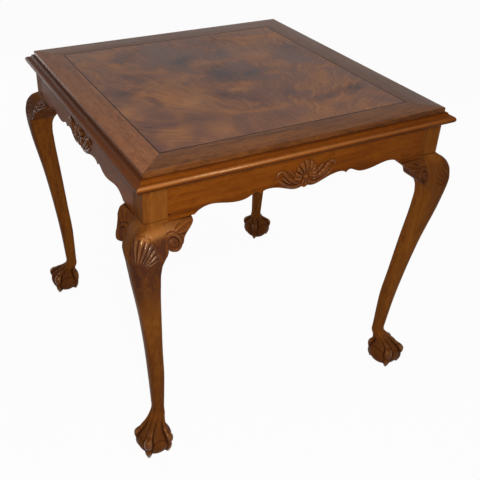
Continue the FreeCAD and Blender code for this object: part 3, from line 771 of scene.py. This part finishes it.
@dataclass
class CabrioleLeg:
    """A leg from its square post to the ball-and-claw foot, carved with a shell on the knee. Millimetres.

    A ring of columns runs round the leg from the outward diagonal. Each ring has a middle on the
    table's diagonal, given by its distance from the table's middle along each axis.
    """
    finishes: Finishes
    columns: int = 224
    top: float = 717.0
    ankle: float = 112.0
    foot_middle: float = 345.0
    ball_radius: float = 41.5
    ball_height: float = 34.0
    shell_root: float = 559.5
    shell_ribs: int = 10
    shell_spread: float = 66.0
    shell_depth: float = 3.2
    knee: tuple[float, float] = (530.0, 640.0)
    # Heights of the painted highlight on the near knee's shoulder and of the line of painted shade at the
    # crease below the post.
    shoulder: float = 625.0
    seam: float = 641.0
    crisp: float = 42.0
    shin: Stations = ((110, 340.0), (200, 346.4), (300, 356.6), (400, 370.0), (450, 378.8), (480, 384.5),
                      (505, 389.0), (530, 392.8), (550, 395.3))
    outer: Stations = shin + (
        (575, 397.0), (592, 398.6), (604, 397.0), (615, 392.0), (624, 385.1), (631, 377.0), (635, 369.8),
        (638, 364.5), (641, 361.0), (720, 361.0))
    flank: Stations = shin + (
        (570, 396.5), (579, 395.5), (586, 393.0), (596, 389.0), (606, 385.5), (615, 381.0), (622, 376.5),
        (628, 370.5), (632, 366.0), (636, 361.8), (641, 361.0), (720, 361.0))
    inner: Stations = ((110, 312.0), (200, 313.0), (300, 319.8), (400, 326.6), (450, 330.4), (480, 332.6),
                       (505, 334.0), (530, 335.2), (550, 334.0), (570, 329.5), (584, 324.0), (590, 323.0),
                       (634.6, 323.0), (636, 311.0), (720, 311.0))
    edge_round: Stations = ((110, 12.4), (200, 13.6), (350, 17.0), (450, 23.0), (500, 27.0), (540, 29.5),
                            (560, 28.0), (575, 26.0), (592, 24.0), (604, 21.0), (615, 17.0), (624, 12.0),
                            (631, 8.0), (637, 5.5), (641, 5.0), (720, 5.0))
    side_round: Stations = ((110, 10.0), (250, 10.5), (400, 12.4), (500, 15.0), (555, 14.0), (572, 9.0),
                            (584, 3.0), (590, 0.8), (720, 0.6))
    toe_reach: Stations = ((0, 39.0), (4, 40.5), (10, 43.0), (16, 44.7), (22, 45.2), (28, 44.5), (31, 44.4),
                           (36, 46.6), (43, 48.4), (48, 48.4), (53, 46.4), (58, 41.6), (62, 36.4),
                           (66, 33.0), (72, 27.4), (80, 21.6), (88, 18.4), (97, 16.4), (106, 15.5),
                           (112, 15.2))
    toe_width: Stations = ((0, 3.6), (5, 5.6), (12, 7.4), (20, 8.6), (26, 8.2), (30, 7.6), (36, 9.2),
                           (43, 10.4), (48, 10.2), (54, 8.6), (60, 6.6), (64, 6.0), (70, 5.6), (80, 4.6),
                           (112, 4.0))
    web: Stations = ((0, 0.0), (42, 40.0), (46, 38.6), (50, 36.2), (54, 33.2), (58, 29.8), (63, 25.8),
                     (69, 22.2), (76, 19.4), (84, 17.4), (93, 16.2), (102, 15.5), (112, 15.2))
    toes: Stations = ((2.0, 1.0), (86.0, 0.0), (-71.0, -2.0), (181.0, -3.0))

    def heights(self) -> Array:
        """Return the heights of the rings, close together where the leg is carved."""
        post = [self.top, 700.0, 680.0, 660.0, 646.0, 643.0, 641.8]
        runs = (post, np.arange(640.9, 524.0, -0.9), np.arange(520.0, 120.0, -5.0),
                np.arange(116.0, 0.3, -0.75), [0.0])
        return np.concatenate(runs)[:, None]

    def section(self, turn: Array, long: Array, wide: Array, edge: Array, side: Array) -> Array:
        """Return the radius of a section that is a square, drawn out towards its outward edge.

        Args:
            turn: Angles from the outward diagonal, within half a turn either way.
            long: Distance from the middle to the outward edge before it is rounded.
            wide: Distance to the other three edges.
            edge: Radius of the outward edge.
            side: Radius of the other three edges.
        Returns:
            The distance from the section's middle at each angle.
        """
        away = np.abs(turn)
        lean = np.arctan2(long, wide)
        flank = long * wide / np.hypot(long, wide) / np.maximum(np.cos(away - lean), 0.05)
        middle = long - edge / np.cos(lean)
        reach = np.arctan2(edge * np.sin(lean), middle + edge * np.cos(lean))
        flank = np.where(away < reach, round_end(middle, away, edge), flank)
        rear = wide * math.sqrt(0.5) / np.maximum(np.cos(away - 0.75 * math.pi), 0.05)
        blend = 0.83 * side
        radius = 0.5 * (flank + rear - np.sqrt((flank - rear) ** 2 + blend ** 2))
        heel = wide - side * math.sqrt(2)
        back = math.pi - away
        reach = np.arctan2(side, heel * math.sqrt(2) + side)
        return np.where(back < reach, round_end(heel, back, side), radius)

    def knee_shell(self, arc: Array, z: Array) -> tuple[Array, Array]:
        """Return how deep the knee's shell is cut and where its ribs lie, which on the near knee get gloss
        and a painted highlight.

        Args:
            arc: Distance round the section from the outward edge.
            z: Heights.
        Returns:
            Depths of the grooves between the rounded ribs that fan up from the shell's root, and the ribs.
        """
        up = z - self.shell_root
        away = np.hypot(arc, up)
        lean = np.degrees(np.arctan2(np.abs(arc), up))
        step = 2 * self.shell_spread / self.shell_ribs
        groove = np.abs(lean % step - step / 2) / (step / 2)
        end = 68.0 - 0.22 * lean - 4.0 * groove ** 2
        fan = 1 - smooth_step(self.shell_spread, self.shell_spread + 4.0, lean)
        length = smooth_step(12.0, 30.0, away) * (1 - smooth_step(end - 3.0, end + 1.0, away))
        outline = 0.22 * bell(away - end, 2.5, 1.6)
        return self.shell_depth * fan * (groove ** 1.7 * length + outline), fan * length * (1 - groove ** 3)

    def foot(self, turn: Array, z: Array) -> tuple[Array, Array]:
        """Return the radius of the ball-and-claw foot and where its creases get painted shade.

        Args:
            turn: Angles from the outward diagonal.
            z: Heights.
        Returns:
            The distance from the foot's axis, round the ball, the webs and four jointed toes, and the
            weight of the painted shade in the creases beside the toes, between their joints and under the
            webs.
        """
        lift = z - self.ball_height
        half = np.where(lift > 0, 0.8 * self.ball_radius, self.ball_radius)
        ball = self.ball_radius * chord(1, lift / half)
        away = [(turn - math.radians(place) + math.pi) % (2 * math.pi) - math.pi for place, _ in self.toes]
        nearest = np.min(np.abs(away), axis=0)
        lip = 54.0 - 14.0 * bell(nearest, 0.0, 0.42)
        tendon = 2.0 * bell(nearest, 0.66, 0.15) * smooth_step(52, 62, z) * smooth_step(100, 84, z)
        web = np.where(z > lip - 2.5, fair_curve(z, self.web) + tendon, 0)
        fade = smooth_step(-1.8, 0.4, z - lip)
        round_form = ball * (1 - fade) + np.maximum(web, ball) * fade
        reach = fair_curve(z, self.toe_reach)
        width = fair_curve(z, self.toe_width)
        result = round_form + 0 * turn
        crease = bell(z - lip, -1.5, 3.0)
        joint = bell(z, 61.0, 3.2) + bell(z, 30.0, 2.4)
        for lean, (_, longer) in zip(away, self.toes):
            out = reach + longer * smooth_step(80.0, 45.0, z) - width
            side = out * np.sin(lean)
            inside = (np.abs(side) < width) & (np.cos(lean) > 0)
            result = np.where(inside, soft_max(result, round_end(out, lean, width), 2.6), result)
            beside = bell(np.abs(side) - width, 1.0, 2.8) * (np.cos(lean) > 0)
            crease = np.maximum(np.where(inside, joint, crease), beside)
        return result, crease * smooth_step(92.0, 66.0, z)

    def surface(self, wear_and_painted_light: float) -> tuple[Array, Marks]:
        """Work out the carved form of the front left leg.

        Args:
            wear_and_painted_light: How far the knee's ribs and shoulder front get gloss and painted
                highlight, its hollows and lower knee deeper painted shade, and its left flank a lighter
                tone, from 0 to 1.
        Returns:
            Rows and columns of places, and the marks that its finish reads.
        """
        z = self.heights()
        turn = np.linspace(-math.pi, math.pi, self.columns + 1)[None, :]
        outer, flank, inner = [fair_curve(z, line) for line in (self.outer, self.flank, self.inner)]
        middle = (flank + inner) / 2
        root = math.sqrt(2)
        radius = self.section(turn, (outer - middle) * root, (flank - inner) / root,
                              fair_curve(z, self.edge_round), fair_curve(z, self.side_round))
        low = np.minimum(z, self.ankle + 4)
        share = smooth_step(self.ankle, 86.0, z)
        foot, crease = self.foot(turn, low)
        radius = radius * (1 - share) + foot * share
        shift = smooth_step(100.0, 54.0, z)
        middle = middle * (1 - shift) + self.foot_middle * shift
        step = np.hypot(np.diff(radius, axis=1), radius[:, 1:] * np.diff(turn, axis=1))
        arc = np.concatenate([np.zeros((len(z), 1)), np.cumsum(step, axis=1)], axis=1)
        arc = arc - arc[:, self.columns // 2:self.columns // 2 + 1]
        knee = (z > self.knee[0]) & (z < self.knee[1])
        cut, ribs = [np.where(knee, part, 0) for part in self.knee_shell(arc, z)]
        # On the near knee the shell's ribs get gloss and a painted highlight, and its hollows deeper painted
        # shade.
        front = wear_and_painted_light * smooth_step(-12.0, 2.0, arc)
        shell = np.clip(relief(-cut, 8, 1.0, True), -0.2 - 0.9 * wear_and_painted_light, 0.15 + front) + 0.55 * front * ribs
        # Painted shade in the hollows of the foot and shell, and lighter ridges, partly scuffing and partly
        # painted highlight.
        carve = relief(radius, 10, 1.5, True) * smooth_step(100.0, 84.0, z) + shell * knee
        # Painted highlight, also glossier, on the front of the near knee's shoulder; painted shade along the
        # crease below the post and in the foot's creases.
        rubbed_highlight = wear_and_painted_light * bell(z, self.shoulder, 9.0) * smooth_step(-0.1, 0.35, turn)
        carve = carve + rubbed_highlight - 0.7 * bell(z, self.seam, 1.5) - 0.55 * crease * share
        # A darker finish on the knee and the foot; on the near knee it is deeper below the shoulder as
        # painted shade and lifted at the painted highlight; lighter on the left flank.
        stain = (0.72 + wear_and_painted_light * (0.25 - 0.4 * smooth_step(606.0, 622.0, z))) * smooth_step(638.0, 616.0, z)
        stain = stain * smooth_step(390.0, 560.0, z) * smooth_step(1.8, 1.4, np.abs(turn))
        stain = stain * (1 - rubbed_highlight) * (1 - (0.4 + 0.4 * wear_and_painted_light) * smooth_step(-0.15, -0.9, turn))
        stain = stain + 0.48 * smooth_step(100.0, 60.0, z)
        radius = radius - cut
        along = radius * np.cos(turn) / root
        across = radius * np.sin(turn) / root
        x = -middle - along + across
        y = -middle - along - across
        return np.stack([x, y, z + 0 * turn], axis=2), {"carve": carve, "stain": stain + 0 * turn}

    def build(self) -> None:
        """Carve one leg, set a copy at each corner, and put one at the front left whose knee is glossier and
        carries painted highlight and painted shade.
        """
        pieces = Bench.copies(Bench.wrap(*self.surface(0.0)))
        bpy.data.objects.remove(pieces[0])
        pieces[0] = Bench.wrap(*self.surface(NEAR_WEAR_AND_PAINTED_LIGHT))
        for piece, corner in zip(pieces, CORNERS):
            Bench.hand_over(piece, "leg_" + corner, Slot.SOLID, self.finishes.solid, self.crisp)


@dataclass
class KneeBracket:
    """A scrolled bracket between a knee and a rail, carved with a volute and a leaf. Millimetres.

    Places on it are reach, inwards from the post, and drop, down from the rail.
    """
    finishes: Finishes
    post_inner: float = 311.0
    face: float = 361.0
    back: float = 339.0
    base: float = 636.0
    drop: float = 51.2
    root: float = -12.0
    flare: float = 5.5
    eye: tuple[float, float] = (-0.5, 34.0)
    scroll_radius: float = 18.2
    columns: int = 73
    ground: float = 0.4
    crisp: float = 50.0
    knee: Stations = ((0, 0.8), (4, 5.0), (8, 9.5), (14, 15.5), (21, 20.0), (30, 24.5), (40, 28.0),
                      (50, 32.0))
    outline: Stations = ((0, 48.5), (2, 50.5), (5, 49.5), (8, 46.5), (15, 36.8), (20, 30.0), (25, 24.8),
                         (30, 21.8), (35, 20.4), (39, 18.6), (43, 15.0), (46, 11.2), (48.5, 7.0),
                         (50.3, 2.5), (51.2, -2.0))
    heel: Stations = ((0, -12.0), (43, -12.0), (46, -11.4), (48.5, -9.4), (50.3, -6.4), (51.2, -3.0))

    def height(self, reach: Array, drop: Array, edge: Array) -> Array:
        """Return how far the carved face stands out from the rail's face.

        Args:
            reach: Distances inwards from the post.
            drop: Distances down from the rail.
            edge: Where the outline lies at each drop.
        Returns:
            Heights of the swelling face with its volute and leaf.
        """
        share = np.clip((reach - self.root) / (edge - self.root), 0, 1)
        flare = self.flare * smooth_step(0.15, 1.0, share) * smooth_step(0, 6, drop)
        body = fair_curve(drop, self.knee) + flare
        away = np.hypot(reach - self.eye[0], drop - self.eye[1])
        turn = np.degrees(np.arctan2(drop - self.eye[1], reach - self.eye[0]))
        ring = away / (1.08 - 0.2 * np.clip((turn + 150) / 300, 0, 1))
        open_side = smooth_step(178, 150, np.abs(turn))
        hook = smooth_step(-160, -110, turn) * smooth_step(120, 60, turn)
        knob = 3.0 * chord(1, ring / 9.3) - 2.4 * hook * bell(ring, 10.0, 1.4)
        band = 1.5 * np.sin(math.pi * np.clip((ring - 10.5) / 7.5, 0, 1)) - bell(ring, 14.3, 0.9)
        band = open_side * (band - 2.0 * bell(ring, 18.7, 1.4))
        ray = np.degrees(np.arctan2(28.0 - drop, reach + 20.0))
        flute = np.cos(2 * math.pi * (ray - 5.0) / 10.0)
        leaf = smooth_step(0, 5, away - self.scroll_radius) * smooth_step(0.25, 0.45, share)
        leaf = leaf * (1.9 * flute - 1.2) * smooth_step(1.0, 5.0, edge - reach) * smooth_step(2.0, 7.0, drop)
        rim = np.clip(1 - (edge - reach) / 5.0, 0, 1)
        foot = np.clip(1 - (self.drop + 0.4 - drop) / 6.0, 0, 1)
        round_over = 4.0 * (2 - np.sqrt(1 - 0.98 * rim ** 2) - np.sqrt(1 - 0.98 * foot ** 2))
        return np.maximum(body + knob + band + leaf - round_over, self.ground)

    def surface(self, wear_and_painted_light: float) -> tuple[Array, Marks]:
        """Work out the carved form of the front rail's left bracket.

        Args:
            wear_and_painted_light: How far the part next to the knee gets gloss and painted highlight, from
                0 to 1.
        Returns:
            Rows and columns of places, and the marks that its finish reads.
        """
        drop = np.concatenate([np.linspace(0, 43, 58), np.linspace(43.6, self.drop, 17)])[:, None]
        edge = fair_curve(drop, self.outline)
        start = fair_curve(drop, self.heel)
        share = np.linspace(0, 1, self.columns)[None, :]
        reach = start + (edge - start) * share
        height = self.height(reach, drop, edge)
        rear = self.back - self.face
        wall = np.linspace(0.9, 0, 5)[None, :]
        reach = np.concatenate([start, reach, edge + 0 * wall, start], axis=1)
        front = np.concatenate([0 * start + rear, height, rear + (height[:, -1:] - rear) * wall,
                                0 * start + rear], axis=1)
        carve = np.zeros_like(front)
        carved = slice(1, 1 + self.columns)
        # Painted highlight, also glossier, next to the near knee; the carve mark paints shade into the
        # hollows and lightens the ridges, partly as scuffing and partly as painted highlight.
        rubbed_highlight = wear_and_painted_light * bell(drop, 11, 9) * smooth_step(30, -8, reach[:, carved])
        carve[:, carved] = np.minimum(relief(height, 9, 1.3, False), 0.16 + 0.2 * wear_and_painted_light) + rubbed_highlight
        x = reach - self.post_inner
        y = -self.face - front
        # A darker finish, darker lower down, and lighter next to the near knee as painted highlight.
        stain = 0.55 + 0.25 * smooth_step(14, 30, drop) - 0.3 * wear_and_painted_light * smooth_step(24, 8, drop)
        stain = stain + 0 * reach
        return np.stack([x, y, self.base - drop + 0 * reach], axis=2), {"carve": carve, "stain": stain}

    def build(self) -> None:
        """Carve a bracket and its mirror and set a pair on each side, with one next to the near knee that
        carries its painted highlight.
        """
        left = Bench.wrap(*self.surface(0.0))
        right = Bench.mirror(left)
        for number, bracket in ((1, left), (2, right)):
            pieces = Bench.copies(bracket)
            if number == 1:
                bpy.data.objects.remove(pieces[0])
                pieces[0] = Bench.wrap(*self.surface(NEAR_WEAR_AND_PAINTED_LIGHT))
            for turn, piece in enumerate(pieces):
                node = "knee_bracket_%s_%d" % (SIDES[turn], number)
                Bench.hand_over(piece, node, Slot.CARVED, self.finishes.solid, self.crisp)


@dataclass
class ShellCarving:
    """The shell and leaves carved on the middle of a rail. Millimetres.

    Places on it are across, from the middle of the rail, and rise, above the rail's lower corners. Each
    leaf has the points that it passes through, half its width and its height.
    """
    finishes: Finishes
    face: float = 361.0
    base: float = 636.0
    hub_rise: float = 27.0
    fan_height: float = 39.0
    fan_half_width: float = 29.0
    petals: int = 9
    half_width: float = 88.0
    low: float = 5.0
    high: float = 68.0
    pitch: float = 0.8
    hub_radius: float = 6.5
    fan_lean: float = 105.0
    ground: float = 0.4
    least: float = 0.25
    sink: float = 0.3
    crisp: float = 60.0
    leaves: tuple = (
        (((18, 15), (30, 21), (43, 32), (52, 43), (57, 49)), 5.0, 6.2),
        (((56, 48), (63, 50), (69, 46), (72, 40)), 3.2, 4.2),
        (((10, 11), (26, 8), (42, 13), (56, 22), (66, 31)), 3.6, 4.8),
        (((34, 16), (46, 24), (56, 35)), 2.8, 4.4), (((27, 31), (33, 39), (41, 48)), 2.6, 3.6),
        (((0, 22), (0, 8)), 3.2, 5.4), (((3, 22), (7, 15), (8, 10)), 2.4, 4.4))

    def ridge(self, across: Array, rise: Array, line: Sequence[tuple[float, float]], width: float,
              height: float) -> Array:
        """Return the height of a rounded ridge that follows a line.

        Args:
            across: Distances from the middle.
            rise: Distances above the rail's lower corners.
            line: Points that the ridge passes through.
            width: Half its width, at its fullest.
            height: Its height, at its fullest.
        Returns:
            Heights, zero away from the ridge.
        """
        best = np.zeros_like(across)
        knots = np.array(line, float)
        share = np.linspace(0, 1, 40)
        spots = np.linspace(0, 1, len(knots))
        path = np.stack([fair_curve(share, list(zip(spots, knots[:, k]))) for k in (0, 1)], axis=1)
        for (px, pz), t in zip(path, share):
            swell = math.sqrt(max(1 - (2 * t - 1) ** 4, 0.08)) * (1 - 0.05 * math.cos(14 * math.pi * t))
            away = np.hypot(across - px, rise - pz) / (width * swell)
            best = np.maximum(best, height * swell * chord(1, away))
        return best

    def height(self, across: Array, rise: Array) -> Array:
        """Return how far the carving stands out from the rail's face.

        Args:
            across: Distances from the middle.
            rise: Distances above the rail's lower corners.
        Returns:
            Heights, zero where the rail is plain.
        """
        up = rise - self.hub_rise
        lean = np.degrees(np.arctan2(np.abs(across), up))
        away = np.hypot(across / self.fan_half_width, up / self.fan_height)
        step = 2 * self.fan_lean / self.petals
        petal = np.abs((lean + step / 2) % step - step / 2) / (step / 2)
        lobe = chord(1, petal / 0.94)
        tip = chord(1, np.maximum(away - 0.55, 0) / (0.38 + 0.07 * lobe))
        fan = (1.2 + 7.0 * smooth_step(0.12, 0.7, away) * lobe) * tip
        fan = np.where(lean < self.fan_lean, fan, 0)
        hub = self.hub_radius * chord(1, np.hypot(across, up + 1) / self.hub_radius)
        leaves = [self.ridge(np.abs(across), rise, *leaf) for leaf in self.leaves]
        return np.max([fan, hub, *leaves], axis=0)

    def build(self) -> None:
        """Carve one panel of ornament and set a copy on each rail."""
        xs = np.arange(-self.half_width, self.half_width + 0.1, self.pitch)
        zs = np.arange(self.low, self.high + 0.1, self.pitch)
        across, rise = np.meshgrid(xs, zs)
        height = self.height(across, rise)
        # Narrow valleys keep a thin ground, so that the panel stays one sound piece.
        height = np.maximum(height, self.ground * (average(height, 2, False) > 0.6))
        Bench.clear()
        bpy.ops.mesh.primitive_grid_add(x_subdivisions=len(xs) - 1, y_subdivisions=len(zs) - 1, size=2)
        piece = bpy.context.object
        points = np.stack([across, -self.face - height, self.base + rise], axis=2)
        # The carve mark paints shade into the hollows and lightens the ridges, partly as scuffing and partly
        # as painted highlight.
        Bench.place(piece, points, {"carve": relief(height, 6, 1.5, False)})
        plain = -(self.face + self.least) * MM
        bpy.ops.object.mode_set(mode="EDIT")
        bpy.ops.mesh.select_all(action="DESELECT")
        bpy.ops.object.mode_set(mode="OBJECT")
        for face in piece.data.polygons:
            face.select = all(piece.data.vertices[v].co.y > plain for v in face.vertices)
        bpy.ops.object.mode_set(mode="EDIT")
        bpy.ops.mesh.select_mode(type="FACE")
        bpy.ops.mesh.delete(type="FACE")
        bpy.ops.mesh.select_all(action="SELECT")
        bpy.ops.mesh.extrude_region_move(TRANSFORM_OT_translate={"value": (0, self.ground * MM, 0)})
        bpy.ops.object.mode_set(mode="OBJECT")
        for vertex in piece.data.vertices:
            if vertex.select:
                vertex.co.y = -(self.face - self.sink) * MM
        bpy.ops.object.mode_set(mode="EDIT")
        bpy.ops.mesh.select_mode(type="VERT")
        Bench.face_outwards()
        for turn, copy in enumerate(Bench.copies(piece)):
            material = self.finishes.carved[self.finishes.along(turn)]
            Bench.hand_over(copy, "shell_carving_" + SIDES[turn], Slot.CARVED, material, self.crisp)


@dataclass
class Frame:
    """The rails, corner blocks, turn-buttons and screws, which keep their CAD shapes."""
    finishes: Finishes

    def dress(self) -> None:
        """Give each CAD node of the frame its finish."""
        for turn, side in enumerate(SIDES):
            grain = self.finishes.along(turn)
            rail = self.finishes.pinned_rail if side == "front" else self.finishes.rail[grain]
            self.finishes.dress_node("apron_rail_" + side, rail)
            for number in (1, 2):
                cross = self.finishes.along(turn + 1)
                self.finishes.dress_node("top_button_%s_%d" % (side, number), self.finishes.raw[cross])
        for corner in CORNERS:
            self.finishes.dress_node("corner_block_" + corner, self.finishes.raw[Grain.ALONG_Z])
        for name in ("corner_block_screws", "top_button_screws"):
            self.finishes.dress_node(name, self.finishes.steel)


@dataclass
class Studio:
    """A pale floor, soft light and the camera. Metres, and pixels of a 480 pixel frame."""
    position: Place = (-0.7714, -1.3870, 1.3538)
    right: Place = (0.89013, -0.45518, 0.02187)
    down: Place = (-0.22891, -0.48813, -0.84222)
    forward: Place = (0.39403, 0.74468, -0.53869)
    focal: float = 698.48
    axis: tuple[float, float] = (206.28, 222.01)
    frame_size: float = 480.0
    sensor: float = 36.0
    aim: Place = (0, 0, 0.5)
    floor_size: float = 14.0
    floor_drop: float = 0.0005
    floor_glow: float = 0.955
    fill: float = 0.12
    lamps: tuple = (("key", (-0.68, -1.2, 1.4), (0.35, 0.35), 9.0),
                    ("flash", (-0.66, -1.42, 1.25), (0.12, 0.12), 8.5),
                    ("window", (0.58, -1.7, 1.65), (0.1, 1.3), 3.4),
                    ("top", (0.2, 0.3, 2.7), (2.2, 2.2), 9.0),
                    ("right", (2.2, 0.1, 0.6), (1.0, 1.0), 7.0),
                    ("back", (-0.9, 2.3, 0.6), (1.0, 1.0), 13.0))

    def build(self) -> None:
        """Make the floor, the world, the lamps and the camera."""
        self.floor()
        self.world()
        for lamp in self.lamps:
            self.lamp(*lamp)
        self.camera()

    @staticmethod
    def seen(add: Adder) -> NodeSocket:
        """Return a socket that is 1 for rays that show the background, straight, mirrored or bent."""
        path = add("LightPath").node.outputs
        mirrored = add("Math", {0: path["Is Glossy Ray"], 1: path["Is Transmission Ray"]},
                       operation="MAXIMUM")
        return add("Math", {0: path["Is Camera Ray"], 1: mirrored}, operation="MAXIMUM")

    def floor(self) -> None:
        """Lay a pale floor that shows near white and keeps a soft shadow."""
        Bench.clear()
        bpy.ops.mesh.primitive_plane_add(size=self.floor_size, location=(0, 0, -self.floor_drop))
        floor = bpy.context.object
        floor.name = "floor"
        material, add, shader = new_material("matt white floor paper")
        feed(shader, {"Base Color": linear("e0e0de"), "Roughness": 0.9})
        share = add("Math", {0: self.seen(add), 1: self.floor_glow}, operation="MULTIPLY")
        glow = add("Emission", {"Color": linear("ffffff"), "Strength": 1.0})
        mix = add("MixShader", {0: share, 1: shader.outputs[0], 2: glow})
        feed(material.node_tree.nodes["Material Output"], {"Surface": mix})
        floor.data.materials.append(material)

    def world(self) -> None:
        """Surround the table with even pale light."""
        world = bpy.data.worlds.new("studio")
        world.use_nodes = True
        add = partial(add_node, world.node_tree)
        level = add("MapRange", {"Value": self.seen(add), "To Min": self.fill, "To Max": 1.0})
        feed(world.node_tree.nodes["Background"], {"Color": linear("ffffff"), "Strength": level})
        bpy.context.scene.world = world

    def lamp(self, name: str, place: Place, size: tuple[float, float], power: float) -> None:
        """Hang a soft lamp that points at the table.

        Args:
            name: The lamp's name.
            place: Where it hangs.
            size: Its width and height.
            power: Its power in watts.
        """
        light = bpy.data.lights.new(name, "AREA")
        light.shape = "RECTANGLE"
        light.size, light.size_y = size
        light.energy = power
        lamp = bpy.data.objects.new(name, light)
        lamp.location = place
        lamp.rotation_euler = (Vector(self.aim) - Vector(place)).to_track_quat("-Z", "Y").to_euler()
        bpy.context.collection.objects.link(lamp)

    def camera(self) -> None:
        """Set the camera where the photograph was taken from."""
        data = bpy.data.cameras.new("camera")
        data.sensor_width = self.sensor
        data.lens = self.focal / self.frame_size * self.sensor
        data.shift_x = 0.5 - self.axis[0] / self.frame_size
        data.shift_y = self.axis[1] / self.frame_size - 0.5
        camera = bpy.data.objects.new("camera", data)
        matrix = Matrix.Identity(4)
        matrix.col[0].xyz = Vector(self.right)
        matrix.col[1].xyz = -Vector(self.down)
        matrix.col[2].xyz = -Vector(self.forward)
        matrix.col[3].xyz = Vector(self.position)
        camera.matrix_world = matrix
        bpy.context.collection.objects.link(camera)
        scene = bpy.context.scene
        scene.camera = camera
        scene.view_settings.view_transform = "Standard"


def main() -> None:
    """Build and dress the table in order."""
    finishes = Finishes()
    top = TableTop(finishes)
    top.build()
    top.dress()
    CabrioleLeg(finishes).build()
    KneeBracket(finishes).build()
    ShellCarving(finishes).build()
    Frame(finishes).dress()
    Studio().build()


if __name__ == "__main__":
    main()
